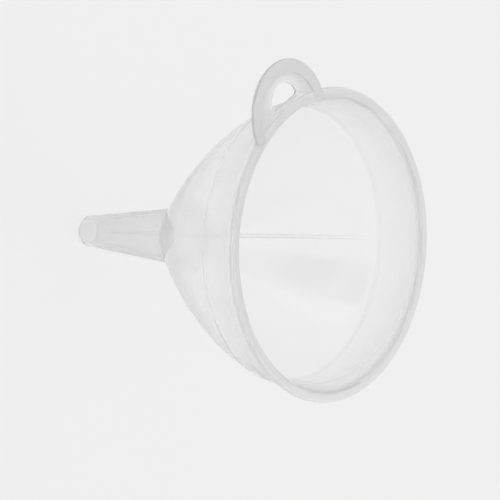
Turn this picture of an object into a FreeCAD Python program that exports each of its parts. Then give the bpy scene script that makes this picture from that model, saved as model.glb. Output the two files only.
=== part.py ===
"""Kitchen funnel with a tapered spout, a rounded bowl and a hanging loop.

Millimetres. +Z points up along the axis of the funnel, from the spout to the
mouth. The origin is on the axis in the plane of the spout tip. The hanging
loop points along +X.
"""
import FreeCAD
import Part
import math
import os

# Heights above the spout tip
SPOUT_TOP_Z = 49.6
THROAT_TOP_Z = 55.2
BOWL_FOOT_Z = 51.2
BOWL_TOP_Z = 112.3
FLANGE_UNDER_Z = 130.2
MOUTH_Z = 132.0

# Radii of the outer skin
TIP_R = 6.4
BOWL_FOOT_R = 11.6
BOWL_TOP_R = 54.2
COLLAR_STEP = 0.35
COLLAR_TOP_R = 57.4
FLANGE_R = 60.0

# The curve of the bowl is drawn towards this point of the (r, z) half plane
BOWL_PULL_R = 47.2
BOWL_PULL_Z = 88.4

# Walls
SPOUT_WALL = 1.4
BOWL_WALL = 1.5
MOUTH_INNER_R = 55.9

# Rounded edges
TIP_ROUND = 0.4
THROAT_OUTER_ROUND = 1.2
THROAT_INNER_ROUND = 3.0
FLANGE_FRONT_ROUND = 0.7
FLANGE_BACK_ROUND = 0.5
MOUTH_ROUND = 1.1

# Hanging loop, in the plane of the mouth
LOOP_CENTRE_X = 56.0
LOOP_OUTER_R = 21.3
LOOP_INNER_R = 16.2
LOOP_THICK = 1.3
LOOP_ROUND = 0.6
LOOP_SIDE_X = 55.0
WEB_THICK = 0.7
WEB_TOP_GAP = 0.4
HOLE_BASE_X = 61.9
HOLE_R = 7.4
HOLE_CORNER_R = 1.4

# Fine rib on the inner skin
RIB_ANGLE = -120.0
RIB_WIDTH = 1.2
RIB_HEIGHT = 0.9
RIB_SPOUT_FOOT_Z = 8.0

AXIS = FreeCAD.Vector(0, 0, 1)
ORIGIN = FreeCAD.Vector(0, 0, 0)


def at(radius, height):
    """Point of the section, in the half plane y = 0."""
    return FreeCAD.Vector(radius, 0, height)


def line(first, second):
    """Straight edge between two points."""
    return Part.makeLine(first, second)


def bowl_curve(foot, pull, top):
    """Rounded meridian of the bowl, one quadratic curve."""
    curve = Part.BezierCurve()
    curve.setPoles([foot, pull, top])
    return curve.toShape()


def unit(vector):
    """Vector of length one in the same direction."""
    return vector * (1.0 / vector.Length)


def inward(tangent):
    """Normal of a meridian, towards the inside of the funnel."""
    return FreeCAD.Vector(-tangent.z, 0, tangent.x)


def skin_points():
    """Foot, pull and top of the bowl for its outer and its inner skin."""
    foot = at(BOWL_FOOT_R, BOWL_FOOT_Z)
    pull = at(BOWL_PULL_R, BOWL_PULL_Z)
    top = at(BOWL_TOP_R, BOWL_TOP_Z)
    low = inward(unit(pull - foot))
    high = inward(unit(top - pull))
    middle = (low + high) * (1.0 / (1.0 + low.dot(high)))
    inner_foot = foot + low * BOWL_WALL
    inner_pull = pull + middle * BOWL_WALL
    slope = (inner_pull - (top + high * BOWL_WALL)) * -1.0
    rise = BOWL_TOP_Z - (top.z + high.z * BOWL_WALL)
    inner_top = top + high * BOWL_WALL + slope * (rise / slope.z)
    return (foot, pull, top), (inner_foot, inner_pull, inner_top)


def revolve(edges):
    """Solid of revolution about the axis, from a closed loop of section edges."""
    face = Part.Face(Part.Wire(Part.__sortEdges__(edges)))
    return face.revolve(ORIGIN, AXIS, 360)


def polygon(points):
    """Edges of a closed outline through the points."""
    closed = points + points[:1]
    return [line(closed[i], closed[i + 1]) for i in range(len(points))]


def slab(low, high):
    """Wide disc between two heights, used to part the wall into its regions."""
    return Part.makeCylinder(2 * FLANGE_R, high - low, at(0, low), AXIS)


def edges_on_circle(shape, radius, height, tolerance=0.02):
    """Circular edges of the shape that lie on the given circle."""
    found = []
    for edge in shape.Edges:
        curve = edge.Curve
        if not isinstance(curve, Part.Circle):
            continue
        same_r = abs(curve.Radius - radius) < tolerance
        same_z = abs(curve.Center.z - height) < tolerance
        if same_r and same_z:
            found.append(edge)
    return found


def bore_radius(height):
    """Radius of the spout bore at a height."""
    inner = skin_points()[1]
    grow = (inner[0].x - (TIP_R - SPOUT_WALL)) / inner[0].z
    return TIP_R - SPOUT_WALL + grow * height


def funnel_wall():
    """The whole wall of spout, bowl and collar, up to the underside of the flange."""
    outer, inner = skin_points()
    collar_foot = at(BOWL_TOP_R + COLLAR_STEP, BOWL_TOP_Z)
    collar_top = at(COLLAR_TOP_R, FLANGE_UNDER_Z)
    inner_mouth = at(mouth_radius(FLANGE_UNDER_Z), FLANGE_UNDER_Z)
    tip_outer = at(TIP_R, 0)
    tip_inner = at(TIP_R - SPOUT_WALL, 0)
    wall = revolve([
        line(tip_inner, tip_outer),
        line(tip_outer, outer[0]),
        bowl_curve(*outer),
        line(outer[2], collar_foot),
        line(collar_foot, collar_top),
        line(collar_top, inner_mouth),
        line(inner_mouth, inner[2]),
        bowl_curve(*reversed(inner)),
        line(inner[0], tip_inner),
    ])
    wall = wall.makeFillet(THROAT_OUTER_ROUND, edges_on_circle(wall, BOWL_FOOT_R, BOWL_FOOT_Z))
    wall = wall.makeFillet(THROAT_INNER_ROUND, edges_on_circle(wall, inner[0].x, inner[0].z))
    wall = wall.makeFillet(TIP_ROUND, edges_on_circle(wall, TIP_R, 0))
    return wall


def mouth_radius(height):
    """Inner radius of the collar at a height, growing evenly towards the mouth."""
    inner_top = skin_points()[1][2]
    grow = (MOUTH_INNER_R - inner_top.x) / (MOUTH_Z - inner_top.z)
    return inner_top.x + grow * (height - inner_top.z)


def rim_flange():
    """Flat flange round the mouth with rounded edges."""
    ring = revolve(polygon([
        at(mouth_radius(FLANGE_UNDER_Z), FLANGE_UNDER_Z),
        at(FLANGE_R, FLANGE_UNDER_Z),
        at(FLANGE_R, MOUTH_Z),
        at(MOUTH_INNER_R, MOUTH_Z),
    ]))
    ring = ring.makeFillet(FLANGE_FRONT_ROUND, edges_on_circle(ring, FLANGE_R, MOUTH_Z))
    ring = ring.makeFillet(FLANGE_BACK_ROUND, edges_on_circle(ring, FLANGE_R, FLANGE_UNDER_Z))
    ring = ring.makeFillet(MOUTH_ROUND, edges_on_circle(ring, MOUTH_INNER_R, MOUTH_Z))
    return ring


def half_disc(radius, height, thickness, centre_x, flat_x):
    """Disc in the plane of the mouth, kept on the outer side of the plane x = flat_x."""
    disc = Part.makeCylinder(radius, thickness, FreeCAD.Vector(centre_x, 0, height), AXIS)
    keep = Part.makeBox(4 * radius, 4 * radius, thickness, FreeCAD.Vector(flat_x, -2 * radius, height))
    return disc.common(keep)


def mouth_plug():
    """Everything inside the outer skin of the collar and flange, as one round plug."""
    return revolve(polygon([
        at(0, BOWL_TOP_Z),
        at(BOWL_TOP_R + COLLAR_STEP, BOWL_TOP_Z),
        at(COLLAR_TOP_R, FLANGE_UNDER_Z),
        at(COLLAR_TOP_R, MOUTH_Z),
        at(0, MOUTH_Z),
    ]))


def loop_border(flange):
    """Thick half ring that frames the hanging loop and runs into the flange."""
    foot_z = MOUTH_Z - LOOP_THICK
    outer = half_disc(LOOP_OUTER_R, foot_z, LOOP_THICK, LOOP_CENTRE_X, LOOP_SIDE_X)
    rounded = [
        edge for edge in outer.Edges
        if isinstance(edge.Curve, Part.Circle) and edge.Length > LOOP_OUTER_R
    ]
    outer = outer.makeFillet(LOOP_ROUND, rounded)
    inner = Part.makeCylinder(LOOP_INNER_R, LOOP_THICK, FreeCAD.Vector(LOOP_CENTRE_X, 0, foot_z), AXIS)
    return outer.cut(inner).cut(mouth_plug()).cut(flange)


def hanging_hole():
    """D-shaped cutter for the hole of the loop, its straight side next to the flange."""
    height = 2 * LOOP_THICK
    foot_z = MOUTH_Z - 1.5 * LOOP_THICK
    cutter = half_disc(HOLE_R, foot_z, height, HOLE_BASE_X, HOLE_BASE_X)
    corners = [
        edge for edge in cutter.Edges
        if isinstance(edge.Curve, Part.Line) and abs(edge.Length - height) < 0.01
        and abs(abs(edge.CenterOfMass.y) - HOLE_R) < 0.01
    ]
    return cutter.makeFillet(HOLE_CORNER_R, corners)


def loop_web(flange):
    """Thin panel between the border and the flange, with the hanging hole."""
    foot_z = MOUTH_Z - WEB_TOP_GAP - WEB_THICK
    panel = half_disc(LOOP_INNER_R, foot_z, WEB_THICK, LOOP_CENTRE_X, LOOP_SIDE_X)
    return panel.cut(mouth_plug()).cut(flange).cut(hanging_hole())


def rib_blade(low, high):
    """Upright blade in the plane of the rib, between two heights."""
    blade = Part.makeBox(FLANGE_R, RIB_WIDTH, high - low, FreeCAD.Vector(0, -RIB_WIDTH / 2, low))
    blade.rotate(ORIGIN, AXIS, RIB_ANGLE)
    return blade


def bowl_hollow():
    """Room inside the inner skin of the bowl."""
    inner = skin_points()[1]
    return revolve([
        bowl_curve(*inner),
        line(inner[2], at(0, inner[2].z)),
        line(at(0, inner[2].z), at(0, inner[0].z)),
        line(at(0, inner[0].z), inner[0]),
    ])


def bowl_rib():
    """Fine rib down the inner skin of the bowl, from the collar to the throat."""
    lifted = bowl_hollow()
    lifted.translate(at(0, rib_lift()))
    return bowl_hollow().cut(lifted).common(rib_blade(THROAT_TOP_Z, BOWL_TOP_Z))


def rib_lift():
    """Upward shift that turns the foot of the bowl skin into the crest of the rib."""
    inner = skin_points()[1]
    return RIB_HEIGHT / inward(unit(inner[1] - inner[0])).z


def spout_rib(wall):
    """Fine rib down the throat and the bore, fading out above the tip."""
    inner = skin_points()[1]
    low = RIB_SPOUT_FOOT_Z
    bend = inner[0].z - RIB_HEIGHT
    rise = THROAT_TOP_Z - inner[0].z
    slope = (inner[1].x - inner[0].x) / (inner[1].z - inner[0].z)
    half_wall = SPOUT_WALL / 2
    ring = revolve(polygon([
        at(bore_radius(low) + half_wall, low),
        at(bore_radius(bend) + half_wall, bend),
        at(inner[0].x + half_wall + slope * rise, THROAT_TOP_Z),
        at(inner[0].x + slope * (rise - rib_lift()), THROAT_TOP_Z),
        at(bore_radius(bend) - RIB_HEIGHT, bend),
        at(bore_radius(low) - RIB_HEIGHT, low + RIB_HEIGHT),
        at(bore_radius(low), low),
    ]))
    return ring.cut(wall).common(rib_blade(low, THROAT_TOP_Z))


def build():
    """All regions of the moulding by name."""
    wall = funnel_wall()
    flange = rim_flange()
    return {
        "spout": wall.common(slab(-1.0, SPOUT_TOP_Z)),
        "throat": wall.common(slab(SPOUT_TOP_Z, THROAT_TOP_Z)),
        "bowl": wall.common(slab(THROAT_TOP_Z, BOWL_TOP_Z)),
        "collar": wall.common(slab(BOWL_TOP_Z, FLANGE_UNDER_Z)),
        "rim_flange": flange,
        "loop_border": loop_border(flange),
        "loop_web": loop_web(flange),
        "bowl_rib": bowl_rib(),
        "spout_rib": spout_rib(wall),
    }


os.makedirs("parts", exist_ok=True)
for name, shape in build().items():
    solid = shape.Solids[0]
    if len(shape.Solids) != 1 or not solid.isValid():
        raise ValueError(name + " is not one valid solid")
    solid.exportStep("parts/" + name + ".step")
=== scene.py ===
import math

import bmesh
import bpy
import numpy as np
from mathutils import Matrix, Vector


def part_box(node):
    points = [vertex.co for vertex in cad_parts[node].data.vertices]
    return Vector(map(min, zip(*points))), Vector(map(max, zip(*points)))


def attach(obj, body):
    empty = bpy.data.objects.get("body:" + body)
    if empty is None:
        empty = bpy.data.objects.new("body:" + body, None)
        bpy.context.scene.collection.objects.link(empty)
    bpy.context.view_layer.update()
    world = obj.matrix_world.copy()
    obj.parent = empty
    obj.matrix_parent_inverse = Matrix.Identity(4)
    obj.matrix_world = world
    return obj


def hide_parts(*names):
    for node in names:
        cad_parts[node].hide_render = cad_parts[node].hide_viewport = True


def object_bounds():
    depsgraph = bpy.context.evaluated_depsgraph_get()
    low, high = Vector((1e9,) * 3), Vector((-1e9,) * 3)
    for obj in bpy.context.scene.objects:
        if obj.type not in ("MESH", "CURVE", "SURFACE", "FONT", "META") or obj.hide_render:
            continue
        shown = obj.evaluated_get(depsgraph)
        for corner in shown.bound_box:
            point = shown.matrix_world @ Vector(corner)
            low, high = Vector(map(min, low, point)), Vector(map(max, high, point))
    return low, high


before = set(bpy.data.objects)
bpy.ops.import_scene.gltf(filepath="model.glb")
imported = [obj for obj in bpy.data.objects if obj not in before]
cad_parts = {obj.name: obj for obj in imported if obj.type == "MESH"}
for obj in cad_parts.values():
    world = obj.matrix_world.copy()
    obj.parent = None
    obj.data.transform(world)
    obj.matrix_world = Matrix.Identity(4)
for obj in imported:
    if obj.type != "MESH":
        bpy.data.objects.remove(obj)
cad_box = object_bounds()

MM = 0.001
BODY = "root"

# Wall of the moulding, millimetres, as (radius, height) or a thickness
TIP_R = 6.4
SPOUT_WALL = 1.4
BOWL_WALL = 1.5
BOWL_FOOT = (11.6, 51.2)
BOWL_PULL = (47.2, 88.4)
BOWL_TOP = (54.2, 112.3)
COLLAR_STEP = 0.35
COLLAR_TOP = (57.4, 130.2)
MOUTH_R = 55.9
RIM_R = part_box("rim_flange")[1].y / MM
MOUTH_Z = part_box("rim_flange")[1].z / MM

# The collar's step is a short ramp that starts just inside the bowl's outer skin
STEP_RAMP = 0.25
STEP_TUCK = 0.02

# Radius of each rounded corner of the wall
ROUND = {
    "tip_bore": 0.25,
    "tip_edge": 0.4,
    "spout_top": 1.6,
    "step": 0.2,
    "flange_root": 0.3,
    "flange_back": 0.5,
    "flange_front": 0.7,
    "mouth": 1.1,
    "collar_foot": 4.0,
    "bore_top": 3.0,
}
# Length of the bowl's curve left to the roundings at its foot and its top
OUTER_SKIPS = (1.1, 0.6)
INNER_SKIPS = (1.6, 0.8)
# Distance of the close point that holds the flat next to a rounding
HOLD = 0.12

# Hanging loop: border, panel and D-shaped hole
LOOP_X = 56.0
LOOP_OUTER_R = 21.3
LOOP_INNER_R = 16.2
LOOP_THICK = 1.3
LOOP_END = 1.0
LOOP_ROUND = {"inner_back": 0.2, "outer": 0.45, "inner_front": 0.3}
WEB_THICK = 0.7
WEB_ROUND = 0.3
WEB_IN_BORDER = 0.9
WEB_IN_FLANGE_R = 56.7
WEB_STRIDE = 0.05
HOLE_X = 61.9
HOLE_R = 7.4
HOLE_CORNER = 1.4
HOLE_MIDDLE_X = HOLE_X + 2.5

# Fine rib on the inner skin, and its section: distance from its middle, share of its height
RIB_ANGLE = math.radians(-120.0)
RIB_HEIGHT = 0.9
RIB_FOOT_Z = 8.0
RIB_TOP_Z = BOWL_TOP[1] - 0.1
RIB_FADE = 10.0
RIB_SECTION = (
    (-0.95, 0), (-0.8, 0.02), (-0.6, 0.5), (-0.42, 0.96), (-0.3, 1), (0, 1),
    (0.3, 1), (0.42, 0.96), (0.6, 0.5), (0.8, 0.02), (0.95, 0),
)
# Distances from the rib's middle of its steep sides, which get painted dark lines of shade
RIB_FLANK = (0.35, 0.7)

# Fineness of the mesh
COLUMNS = 420
ROUND_STEPS = 7
BOWL_STEPS = 64
CURVE_SAMPLES = 200
CURVE_REACH = 0.01
SPOUT_STEPS = 24
COLLAR_STEPS = 10
LOOP_STEPS = 96
HOLE_STEPS = 144
SHARP_ANGLE = math.radians(38.0)

# Plastic of each region: depth that the light meets, millimetres, and its whiteness. Whiteness below 1 is
# painted shade: a greyer spout, collar top, rim, loop and web, and dark lines on the rib's sides and the
# collar step; the rim's outer edge keeps full whiteness as a painted highlight.
PLASTIC_AND_PAINTED_SHADE = {
    "spout": (4.8, 0.965),
    "spout_top": (3.2, 1.0),
    "throat": (4.0, 1.0),
    "bowl": (0.7, 1.0),
    "collar": (2.0, 0.992),
    "collar_top": (6.2, 0.965),
    "rim": (18.0, 0.91),
    # Rim's rounded outer edge: full whiteness against the greyer rim, a painted highlight
    "rim_edge": (18.0, 1.0),
    "loop": (14.0, 0.83),
    "web": (4.5, 0.87),
    # Rib sides: deep, greyer plastic that paints dark lines of shade
    "rib": (8.0, 0.86),
    # Collar step: deeper, greyer plastic that paints a dark line of shade
    "step": (4.0, 0.96),
}
# Regions whose plastic and painted shade turn into those of another entry between two heights: the spout's
# painted shade fades towards the bowl, the collar's deepens towards the flange, and the rib's painted dark
# lines fade out near the top
BLENDS = {
    "spout": ("spout_top", 0.0, BOWL_FOOT[1]),
    "collar": ("collar_top", BOWL_TOP[1] + 4.0, COLLAR_TOP[1]),
    "rib": ("bowl", BOWL_TOP[1] - 32.0, BOWL_TOP[1] - 4.0),
}
# Where a region ends
FLANGE_LOW_Z = COLLAR_TOP[1] - 0.1
RIM_INNER_R = MOUTH_R - 0.6
LOOP_FROM_R = MOUTH_R + 0.3
STEP_INNER_R = BOWL_TOP[0] - 0.3
# Width of the rim's outer edge that gets a painted highlight
RIM_EDGE = 0.75
THROAT_BELOW, THROAT_ABOVE = 3.0, 5.0
# Half height of the band round the collar step, outside STEP_INNER_R, that gets a painted dark line of
# shade
STEP_BAND = 0.5
SEAM = 0.02

# Milky polypropylene
REFRACTION = 1.49
HAZE_PER_MM = 0.05
GRAZING_LIMIT = 1.2
THROUGH_SHARE = 0.45
FLOW_SCALE, FLOW_DETAIL = 28.0, 3.0
GRAIN_SCALE, GRAIN_DETAIL = 900.0, 2.0
FLOW_BUMP = (0.0002, 0.2)
GRAIN_BUMP = (0.000001, 0.1)
ROUGHNESS = (0.07, 0.13)
DEPTH_SPREAD = (0.85, 1.15)
TINT_SPREAD = (0.995, 1.0)

# Studio: light levels by direction; azimuth from +X towards +Y and elevation, degrees
RING_LEVEL = 0.87
TOP_LEVEL = 0.36
RING_FADE = (0.5, 0.92)
SOFT_BOXES = (
    # azimuth, elevation, half width, gain
    (210, 40, 28, 1.3),
    (312, 34, 24, 0.4),
    (270, 52, 22, 0.6),
    (2, 15, 24, 0.7),
    (60, 66, 34, 0.5),
)
BOX_CORE = 0.5
DARK_GAPS = (
    # azimuth, half width, share of the light taken away
    (25, 21, 1.0),
)
GAP_CORE = 0.65
GAP_FADE = (0.5, 0.65)
BACKDROP_LEVEL = 0.863
FLOOR_GREY = 0.12
FLOOR_GLOW = 0.758
FLOOR_HALF = 20.0
FLOOR_GAP = 0.0002

# Camera: the point it looks at and its distance, metres, its direction and roll, degrees
CAMERA_TARGET = (-0.0058, -0.0017, 0.0855)
CAMERA_DISTANCE = 0.7933
CAMERA_AZIMUTH = 55.49
CAMERA_ELEVATION = 40.23
CAMERA_ROLL = 93.57
LENS = 144.0
SENSOR = 36.0


# ---------------------------------------------------------------- outline

def heading(a, b):
    """Unit vector from a to b."""
    d = np.subtract(b, a)
    return d / np.linalg.norm(d)


def inward(d):
    """Left-hand normal of a direction that climbs the outer skin."""
    return np.array([-d[1], d[0]])


def curve_point(foot, pull, top, t):
    """Point of a quadratic curve."""
    foot, pull, top = map(np.asarray, (foot, pull, top))
    return (1 - t) ** 2 * foot + 2 * t * (1 - t) * pull + t * t * top


def skins():
    """Foot, pull and top of the bowl for the outer and the inner skin."""
    low = inward(heading(BOWL_FOOT, BOWL_PULL))
    high = inward(heading(BOWL_PULL, BOWL_TOP))
    middle = (low + high) / (1 + low @ high)
    foot = np.array(BOWL_FOOT) + low * BOWL_WALL
    pull = np.array(BOWL_PULL) + middle * BOWL_WALL
    top = np.array(BOWL_TOP) + high * BOWL_WALL
    slope = top - pull
    top = top + slope * (BOWL_TOP[1] - top[1]) / slope[1]
    return (BOWL_FOOT, BOWL_PULL, BOWL_TOP), (foot, pull, top)


def rounded(before, corner, after, radius, steps=ROUND_STEPS):
    """Arc that replaces a corner, with a close point on either side to hold the flats."""
    corner = np.asarray(corner, float)
    come, go = heading(before, corner), heading(corner, after)
    turn = math.atan2(come[0] * go[1] - come[1] * go[0], come @ go)
    reach = radius * math.tan(abs(turn) / 2)
    side = 1 if turn > 0 else -1
    centre = corner - come * reach + inward(come) * radius * side
    spoke = corner - come * reach - centre
    points = [corner - come * (reach + HOLD)]
    for i in range(steps + 1):
        a = turn * i / steps
        ca, sa = math.cos(a), math.sin(a)
        points.append(centre + np.array([ca * spoke[0] - sa * spoke[1], sa * spoke[0] + ca * spoke[1]]))
    points.append(corner + go * (reach + HOLD))
    return points


def straight(a, b, count):
    """Points between a and b, both left out."""
    a, b = np.asarray(a), np.asarray(b)
    return [a + (b - a) * i / (count + 1) for i in range(1, count + 1)]


def bowl_points(skin, skips):
    """Points along a bowl skin from foot to top, clear of the rounded ends."""
    foot, top = np.asarray(skin[0]), np.asarray(skin[2])
    kept = []
    for i in range(1, BOWL_STEPS):
        p = curve_point(*skin, i / BOWL_STEPS)
        if np.linalg.norm(p - foot) > skips[0] and np.linalg.norm(p - top) > skips[1]:
            kept.append(p)
    return kept


def outline():
    """Closed outline of the wall in the (radius, height) half plane."""
    outer, inner = skins()
    tip_out, tip_in = (TIP_R, 0), (TIP_R - SPOUT_WALL, 0)
    step_low = (BOWL_TOP[0] - STEP_TUCK, BOWL_TOP[1] - STEP_RAMP / 2)
    step_high = (BOWL_TOP[0] + COLLAR_STEP, BOWL_TOP[1] + STEP_RAMP / 2)
    under, back, front = COLLAR_TOP, (RIM_R, COLLAR_TOP[1]), (RIM_R, MOUTH_Z)
    mouth = (MOUTH_R, MOUTH_Z)
    points = rounded(inner[0], tip_in, tip_out, ROUND["tip_bore"], 4)
    points += rounded(tip_in, tip_out, outer[0], ROUND["tip_edge"])
    points += straight(points[-1], outer[0], SPOUT_STEPS)
    points += rounded(tip_out, outer[0], outer[1], ROUND["spout_top"])
    points += bowl_points(outer, OUTER_SKIPS)
    points += rounded(outer[1], step_low, step_high, ROUND["step"], 4)
    points += rounded(step_low, step_high, under, ROUND["step"], 4)
    points += straight(points[-1], under, COLLAR_STEPS)
    points += rounded(step_high, under, back, ROUND["flange_root"], 5)
    points += rounded(under, back, front, ROUND["flange_back"])
    points += rounded(back, front, mouth, ROUND["flange_front"])
    points += rounded(front, mouth, inner[2], ROUND["mouth"], 10)
    points += straight(points[-1], inner[2], COLLAR_STEPS)
    points += rounded(mouth, inner[2], inner[1], ROUND["collar_foot"], 5)
    points += bowl_points(inner, INNER_SKIPS)[::-1]
    points += rounded(inner[1], inner[0], tip_in, ROUND["bore_top"])
    points += straight(points[-1], tip_in, SPOUT_STEPS)
    return points


# ---------------------------------------------------------------- moulding

def new_object(name, mesh):
    thing = bpy.data.objects.new(name, mesh)
    bpy.context.scene.collection.objects.link(thing)
    return thing


def skin_of_rows(name, rows, ring=True):
    """Closed skin through closed rows of points in millimetres; rows form a ring or a capped run."""
    count = len(rows[0])
    last = len(rows) - 1
    points = [tuple(c * MM for c in p) for row in rows for p in row]
    faces = []
    for i in range(len(rows) if ring else last):
        j = (i + 1) % len(rows)
        for k in range(count):
            m = (k + 1) % count
            faces.append((i * count + k, i * count + m, j * count + m, j * count + k))
    if not ring:
        faces.append(tuple(range(count))[::-1])
        faces.append(tuple(range(last * count, (last + 1) * count)))
    mesh = bpy.data.meshes.new(name)
    mesh.from_pydata(points, [], faces)
    mesh.update()
    work = bmesh.new()
    work.from_mesh(mesh)
    bmesh.ops.recalc_face_normals(work, faces=work.faces)
    work.to_mesh(mesh)
    work.free()
    return new_object(name, mesh)


def rib_rise(height):
    """How far the rib stands off the inner skin at a height."""
    if not RIB_FOOT_Z <= height <= RIB_TOP_Z:
        return 0.0
    inner = skins()[1]
    if height <= inner[0][1]:
        return RIB_HEIGHT * min(1.0, (height - RIB_FOOT_Z) / RIB_HEIGHT)
    samples = [i / CURVE_SAMPLES for i in range(CURVE_SAMPLES + 1)]
    nearest = min(samples, key=lambda t: abs(curve_point(*inner, t)[1] - height))
    below = curve_point(*inner, max(0, nearest - CURVE_REACH))
    above = curve_point(*inner, min(1, nearest + CURVE_REACH))
    foot_lean = inward(heading(inner[0], inner[1]))[1]
    lift = RIB_HEIGHT / foot_lean * min(1.0, (BOWL_TOP[1] - height) / RIB_FADE)
    return lift * inward(heading(below, above))[1]


def shell():
    """Spout, throat, bowl, collar and flange as one revolved wall, with the rib raised on it."""
    points = outline()
    turn_in = max(range(len(points)), key=lambda i: (points[i][1], -points[i][0]))
    rows = []
    for i, (r, z) in enumerate(points):
        normal = inward(heading(points[i - 1], points[(i + 1) % len(points)]))
        rise = rib_rise(z) if i > turn_in else 0.0
        row = []
        for d, share in RIB_SECTION:
            rr, zz = np.array([r, z]) + normal * rise * share
            a = RIB_ANGLE + math.asin(d / r)
            row.append((rr * math.cos(a), rr * math.sin(a), zz))
        edge = math.asin(RIB_SECTION[-1][0] / r)
        for k in range(1, COLUMNS):
            a = RIB_ANGLE + edge + (2 * math.pi - 2 * edge) * k / COLUMNS
            row.append((r * math.cos(a), r * math.sin(a), z))
        rows.append(row)
    return skin_of_rows("funnel_moulding", rows)


def loop_section():
    """Outline of the loop border across its width: (distance from the loop centre, height)."""
    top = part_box("loop_border")[1].z / MM
    low = top - LOOP_THICK
    corners = [
        ((LOOP_INNER_R, low), LOOP_ROUND["inner_back"]),
        ((LOOP_OUTER_R, low), LOOP_ROUND["outer"]),
        ((LOOP_OUTER_R, top), LOOP_ROUND["outer"]),
        ((LOOP_INNER_R, top), LOOP_ROUND["inner_front"]),
    ]
    points = []
    for i, (corner, radius) in enumerate(corners):
        points += rounded(corners[i - 1][0], corner, corners[(i + 1) % 4][0], radius, 6)
    return points


def loop_border():
    """Rounded half ring whose feet run straight into the flange."""
    section = loop_section()
    quarter = math.pi / 2
    stations = [(-quarter, -LOOP_END)]
    stations += [(-quarter + math.pi * i / LOOP_STEPS, 0.0) for i in range(LOOP_STEPS + 1)]
    stations += [(quarter, -LOOP_END)]
    rows = []
    for a, shift in stations:
        rows.append([(LOOP_X + shift + d * math.cos(a), d * math.sin(a), z) for d, z in section])
    return skin_of_rows("loop_border_cutter", rows, ring=False)


def hole_outline(grow):
    """D-shaped outline grown evenly by a distance, as points evenly spaced along it."""
    radius, flat, corner = HOLE_R + grow, HOLE_X - grow, HOLE_CORNER + grow
    inner_x = flat + corner
    inner_y = math.sqrt((radius - corner) ** 2 - (inner_x - HOLE_X) ** 2)
    tangent = math.atan2(inner_y, inner_x - HOLE_X)
    arc = 2 * tangent * radius
    bend = (math.pi - tangent) * corner
    side = 2 * inner_y
    total = arc + 2 * bend + side
    points = []
    for i in range(HOLE_STEPS):
        s = total * i / HOLE_STEPS
        if s < arc / 2 or s >= total - arc / 2:
            a = (s if s < arc / 2 else s - total) / radius
            points.append((HOLE_X + radius * math.cos(a), radius * math.sin(a)))
        elif s < arc / 2 + bend:
            a = tangent + (s - arc / 2) / corner
            points.append((inner_x + corner * math.cos(a), inner_y + corner * math.sin(a)))
        elif s < arc / 2 + bend + side:
            points.append((flat, inner_y - (s - arc / 2 - bend)))
        else:
            a = math.pi + (s - arc / 2 - bend - side) / corner
            points.append((inner_x + corner * math.cos(a), -inner_y + corner * math.sin(a)))
    return points


def in_panel(x, y):
    """True inside the panel and a little way into the border and the flange round it."""
    in_border = math.hypot(x - LOOP_X, y) <= LOOP_INNER_R + WEB_IN_BORDER
    return in_border and math.hypot(x, y) >= WEB_IN_FLANGE_R


def web_edge():
    """Outer edge of the panel, buried in the border and the flange."""
    points = []
    for x, y in hole_outline(0.0):
        d = heading((HOLE_MIDDLE_X, 0), (x, y))
        reach = 0.0
        px, py = HOLE_MIDDLE_X, 0.0
        while in_panel(px, py):
            reach += WEB_STRIDE
            px, py = HOLE_MIDDLE_X + d[0] * reach, d[1] * reach
        points.append((px, py))
    return points


def loop_web():
    """Thin panel with the hanging hole, whose edge is rounded over on both faces."""
    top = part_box("loop_web")[1].z / MM
    low = top - WEB_THICK
    far = web_edge()
    turns = [math.pi / 2 * i / 5 for i in range(6)]
    rows = [[(x, y, low) for x, y in far]]
    for a in turns:
        z = low + WEB_ROUND * (1 - math.cos(a))
        rows.append([(x, y, z) for x, y in hole_outline(WEB_ROUND * (1 - math.sin(a)))])
    for a in turns:
        z = top - WEB_ROUND * (1 - math.sin(a))
        rows.append([(x, y, z) for x, y in hole_outline(WEB_ROUND * (1 - math.cos(a)))])
    rows.append([(x, y, top) for x, y in far])
    return skin_of_rows("loop_web_cutter", rows)


def fuse(base, *others):
    """Unites closed meshes into one skin without inner walls."""
    for other in others:
        join = base.modifiers.new(other.name, "BOOLEAN")
        join.operation = "UNION"
        join.solver = "EXACT"
        join.object = other
    graph = bpy.context.evaluated_depsgraph_get()
    mesh = bpy.data.meshes.new_from_object(base.evaluated_get(graph))
    base.modifiers.clear()
    base.data = mesh
    for other in others:
        bpy.data.objects.remove(other)
    return base


# ---------------------------------------------------------------- plastic and painted shade of each vertex

def region(x, y, z):
    """Region of the moulding that a point of its surface belongs to, from millimetres."""
    r = math.hypot(x, y)
    out = math.hypot(x - LOOP_X, y)
    if x > LOOP_X - LOOP_END - SEAM and z > FLANGE_LOW_Z and r > LOOP_FROM_R:
        if LOOP_INNER_R - SEAM <= out <= LOOP_OUTER_R + SEAM:
            return "loop"
        if r > RIM_R + SEAM / 2 and out < LOOP_INNER_R:
            return "web"
    # The rim's outer edge, which gets a painted highlight
    if z > MOUTH_Z - RIM_EDGE and r > RIM_R - RIM_EDGE:
        return "rim_edge"
    if z > FLANGE_LOW_Z and r > RIM_INNER_R:
        return "rim"
    if z > BOWL_TOP[1]:
        return "collar"
    if z > BOWL_FOOT[1] + THROAT_ABOVE:
        return "bowl"
    if z > BOWL_FOOT[1] - THROAT_BELOW:
        return "throat"
    return "spout"


def on_rib_flank(vertex):
    """True for the steep sides of the rib on the inner skin, which get painted dark lines of shade."""
    x, y, z = (c / MM for c in vertex.co)
    off = y * math.cos(RIB_ANGLE) - x * math.sin(RIB_ANGLE)
    along = x * math.cos(RIB_ANGLE) + y * math.sin(RIB_ANGLE)
    inside = vertex.normal.x * x + vertex.normal.y * y < 0
    in_height = RIB_FOOT_Z < z < BOWL_TOP[1] - RIB_FADE / 2
    return along > 0 and inside and in_height and RIB_FLANK[0] < abs(off) < RIB_FLANK[1]


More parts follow.
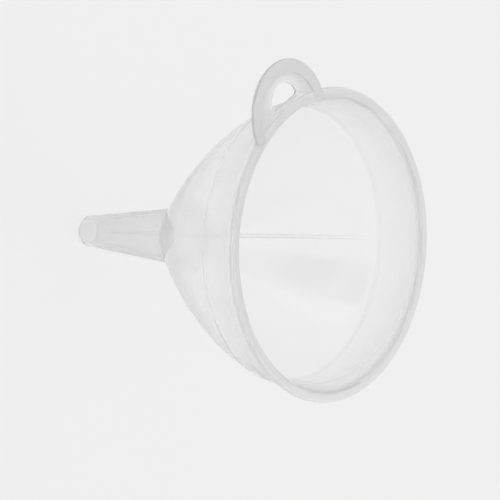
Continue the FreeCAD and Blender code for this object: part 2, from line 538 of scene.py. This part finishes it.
def plastic_and_painted_shade_at(vertex):
    """Depth and whiteness of the plastic at a vertex; the whiteness carries painted shade and a painted
    highlight.
    """
    x, y, z = (c / MM for c in vertex.co)
    name = region(x, y, z)
    # The rib's steep sides get painted dark lines of shade
    if on_rib_flank(vertex):
        name = "rib"
    # The collar step gets a painted dark line of shade
    elif abs(z - BOWL_TOP[1]) < STEP_BAND and math.hypot(x, y) > STEP_INNER_R:
        name = "step"
    if name not in BLENDS:
        return PLASTIC_AND_PAINTED_SHADE[name]
    other, start, end = BLENDS[name]
    share = min(1.0, max(0.0, (z - start) / (end - start)))
    return tuple(low + (high - low) * share for low, high in zip(PLASTIC_AND_PAINTED_SHADE[name], PLASTIC_AND_PAINTED_SHADE[other]))


def finish_mesh(piece, material):
    """Smooth shading with sharp corners kept, the plastic and painted shade of each vertex, and the
    material.
    """
    mesh = piece.data
    mesh.validate()
    for face in mesh.polygons:
        face.use_smooth = True
    mesh.set_sharp_from_angle(angle=SHARP_ANGLE)
    # Depth and whiteness of the plastic at each vertex; the whiteness holds painted shade and a painted
    # highlight
    depth = mesh.attributes.new("milk_mm", "FLOAT", "POINT")
    tone_and_painted_shade = mesh.attributes.new("milk_tone_and_painted_shade", "FLOAT", "POINT")
    for v in mesh.vertices:
        depth.data[v.index].value, tone_and_painted_shade.data[v.index].value = plastic_and_painted_shade_at(v)
    mesh.materials.clear()
    mesh.materials.append(material)


# ---------------------------------------------------------------- shader nodes

def link(tree, a, b):
    tree.links.new(a, b)


def math_node(tree, kind, a, b=None):
    """Sum of two values or sockets, their product and so on."""
    node = tree.nodes.new("ShaderNodeMath")
    node.operation = kind
    for i, value in enumerate((a, b)):
        if value is None:
            continue
        if isinstance(value, (int, float)):
            node.inputs[i].default_value = value
        else:
            link(tree, value, node.inputs[i])
    return node.outputs[0]


def vector_node(tree, kind, value, other=None):
    node = tree.nodes.new("ShaderNodeVectorMath")
    node.operation = kind
    link(tree, value, node.inputs[0])
    if other is not None:
        node.inputs[1].default_value = other
    return node.outputs["Value" if kind == "DOT_PRODUCT" else "Vector"]


def noise(tree, place, scale, detail):
    node = tree.nodes.new("ShaderNodeTexNoise")
    node.inputs["Scale"].default_value = scale
    node.inputs["Detail"].default_value = detail
    link(tree, place, node.inputs["Vector"])
    return node.outputs["Fac"]


def spread(tree, value, low, high, start=0.0, end=1.0, smooth=False):
    """Goes from low to high as the value goes from start to end."""
    node = tree.nodes.new("ShaderNodeMapRange")
    if smooth:
        node.interpolation_type = "SMOOTHSTEP"
    for name, number in (("From Min", start), ("From Max", end), ("To Min", low), ("To Max", high)):
        node.inputs[name].default_value = number
    link(tree, value, node.inputs["Value"])
    return node.outputs[0]


def bump(tree, height, depth, strength, under=None):
    node = tree.nodes.new("ShaderNodeBump")
    node.inputs["Strength"].default_value = strength
    node.inputs["Distance"].default_value = depth
    link(tree, height, node.inputs["Height"])
    if under is not None:
        link(tree, under, node.inputs["Normal"])
    return node.outputs["Normal"]


def stored(tree, name):
    """Value kept on the mesh under a name."""
    node = tree.nodes.new("ShaderNodeAttribute")
    node.attribute_name = name
    return node.outputs["Fac"]


def mixed(tree, share, first, second):
    """Mix of two shaders; the share is a number or a socket."""
    node = tree.nodes.new("ShaderNodeMixShader")
    if isinstance(share, float):
        node.inputs["Fac"].default_value = share
    else:
        link(tree, share, node.inputs["Fac"])
    link(tree, first.outputs[0], node.inputs[1])
    link(tree, second.outputs[0], node.inputs[2])
    return node


# ---------------------------------------------------------------- material

def milky_plastic():
    """Thin translucent polypropylene: clear where it is thin, milky where deep or seen edge on; its
    whiteness comes from the mesh and carries painted shade.
    """
    material = bpy.data.materials.new("milky_polypropylene")
    material.use_nodes = True
    tree = material.node_tree
    tree.nodes.clear()
    out = tree.nodes.new("ShaderNodeOutputMaterial")
    place = tree.nodes.new("ShaderNodeTexCoord").outputs["Object"]
    flow = noise(tree, place, FLOW_SCALE, FLOW_DETAIL)
    grain = noise(tree, place, GRAIN_SCALE, GRAIN_DETAIL)
    surface = bump(tree, flow, *FLOW_BUMP)
    surface = bump(tree, grain, *GRAIN_BUMP, surface)
    rough = spread(tree, flow, *ROUGHNESS)

    weight = tree.nodes.new("ShaderNodeLayerWeight")
    weight.inputs["Blend"].default_value = 0.5
    straight_on = math_node(tree, "SUBTRACT", GRAZING_LIMIT, weight.outputs["Facing"])
    depth = math_node(tree, "DIVIDE", stored(tree, "milk_mm"), straight_on)
    depth = math_node(tree, "MULTIPLY", depth, spread(tree, flow, *DEPTH_SPREAD))
    passed = math_node(tree, "EXPONENT", math_node(tree, "MULTIPLY", depth, -HAZE_PER_MM))
    haze = math_node(tree, "SUBTRACT", 1.0, passed)
    # Whiteness from the mesh, which carries the painted shade and the painted highlight, with a slight
    # random spread
    tint_and_painted_shade = math_node(tree, "MULTIPLY", stored(tree, "milk_tone_and_painted_shade"), spread(tree, flow, *TINT_SPREAD))

    clear = tree.nodes.new("ShaderNodeBsdfPrincipled")
    clear.inputs["Base Color"].default_value = (1, 1, 1, 1)
    clear.inputs["Transmission Weight"].default_value = 1.0
    body = tree.nodes.new("ShaderNodeBsdfPrincipled")
    link(tree, tint_and_painted_shade, body.inputs["Base Color"])
    for shader in (clear, body):
        shader.inputs["IOR"].default_value = REFRACTION
        link(tree, rough, shader.inputs["Roughness"])
        link(tree, surface, shader.inputs["Normal"])
    through = tree.nodes.new("ShaderNodeBsdfTranslucent")
    link(tree, tint_and_painted_shade, through.inputs["Color"])
    link(tree, surface, through.inputs["Normal"])
    skin = mixed(tree, haze, clear, mixed(tree, THROUGH_SHARE, body, through))
    link(tree, skin.outputs[0], out.inputs["Surface"])
    return material


# ---------------------------------------------------------------- studio

def floor():
    """Plain pale floor just under the spout tip."""
    mesh = bpy.data.meshes.new("floor")
    corners = [(x * FLOOR_HALF, y * FLOOR_HALF, 0) for x, y in ((-1, -1), (1, -1), (1, 1), (-1, 1))]
    mesh.from_pydata(corners, [], [(0, 1, 2, 3)])
    ground = new_object("floor", mesh)
    ground.location.z = cad_box[0].z - FLOOR_GAP
    material = bpy.data.materials.new("pale_floor")
    material.use_nodes = True
    body = material.node_tree.nodes["Principled BSDF"]
    body.inputs["Base Color"].default_value = (FLOOR_GREY, FLOOR_GREY, FLOOR_GREY, 1)
    body.inputs["Roughness"].default_value = 0.9
    body.inputs["Specular IOR Level"].default_value = 0.1
    body.inputs["Emission Color"].default_value = (1, 1, 1, 1)
    body.inputs["Emission Strength"].default_value = FLOOR_GLOW
    mesh.materials.append(material)


def aim(azimuth, elevation):
    """Unit vector towards a direction given in degrees."""
    turn, rise = math.radians(azimuth), math.radians(elevation)
    return (math.cos(turn) * math.cos(rise), math.sin(turn) * math.cos(rise), math.sin(rise))


def patch(tree, place, azimuth, elevation, size, core, level):
    """Level inside a round patch of sky, nothing outside; it is full over the core of its size."""
    near = vector_node(tree, "DOT_PRODUCT", place, aim(azimuth, elevation))
    start, end = math.cos(math.radians(size)), math.cos(math.radians(size * core))
    return spread(tree, near, 0.0, level, start, end, smooth=True)


def background(tree):
    node = tree.nodes.new("ShaderNodeBackground")
    node.inputs["Color"].default_value = (1, 1, 1, 1)
    return node


def sky():
    """Soft studio surroundings: an even ring, dark overhead, with soft boxes and one dark gap."""
    world = bpy.data.worlds.new("studio")
    bpy.context.scene.world = world
    world.use_nodes = True
    tree = world.node_tree
    tree.nodes.clear()
    out = tree.nodes.new("ShaderNodeOutputWorld")
    place = tree.nodes.new("ShaderNodeTexCoord").outputs["Generated"]
    flat = vector_node(tree, "NORMALIZE", vector_node(tree, "MULTIPLY", place, (1, 1, 0)))
    height = vector_node(tree, "DOT_PRODUCT", place, (0, 0, 1))
    level = spread(tree, height, RING_LEVEL, TOP_LEVEL, *RING_FADE, smooth=True)
    for azimuth, elevation, size, gain in SOFT_BOXES:
        level = math_node(tree, "ADD", level, patch(tree, place, azimuth, elevation, size, BOX_CORE, gain))
    for azimuth, size, taken in DARK_GAPS:
        gap = patch(tree, flat, azimuth, 0.0, size, GAP_CORE, taken)
        gap = math_node(tree, "MULTIPLY", gap, spread(tree, height, 1.0, 0.0, *GAP_FADE, smooth=True))
        level = math_node(tree, "MULTIPLY", level, math_node(tree, "SUBTRACT", 1.0, gap))
    around = background(tree)
    link(tree, level, around.inputs["Strength"])
    seen = background(tree)
    seen.inputs["Strength"].default_value = BACKDROP_LEVEL
    camera_ray = tree.nodes.new("ShaderNodeLightPath").outputs["Is Camera Ray"]
    link(tree, mixed(tree, camera_ray, around, seen).outputs[0], out.inputs["Surface"])


def camera():
    """Long lens that looks down into the mouth, rolled so that the spout points to the left."""
    data = bpy.data.cameras.new("camera")
    data.sensor_width = SENSOR
    data.lens = LENS
    data.clip_start = 0.01
    data.clip_end = 100.0
    thing = new_object("camera", data)
    back = Vector(aim(CAMERA_AZIMUTH, CAMERA_ELEVATION))
    level = Vector((0, 0, 1)).cross(back).normalized()
    turn = Matrix((level, back.cross(level), back)).transposed()
    turn = turn @ Matrix.Rotation(math.radians(CAMERA_ROLL), 3, "Z")
    place = Vector(CAMERA_TARGET) + back * CAMERA_DISTANCE
    thing.matrix_world = Matrix.Translation(place) @ turn.to_4x4()
    bpy.context.scene.camera = thing


def studio():
    """View settings, enough bounces for a see-through wall, floor, sky and camera."""
    scene = bpy.context.scene
    scene.view_settings.view_transform = "Standard"
    scene.cycles.max_bounces = 80
    scene.cycles.transmission_bounces = 80
    scene.cycles.glossy_bounces = 80
    scene.cycles.diffuse_bounces = 40
    scene.cycles.transparent_max_bounces = 32
    floor()
    sky()
    camera()


# ---------------------------------------------------------------- build

moulding = fuse(shell(), loop_border(), loop_web())
finish_mesh(moulding, milky_plastic())
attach(moulding, BODY)
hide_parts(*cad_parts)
studio()
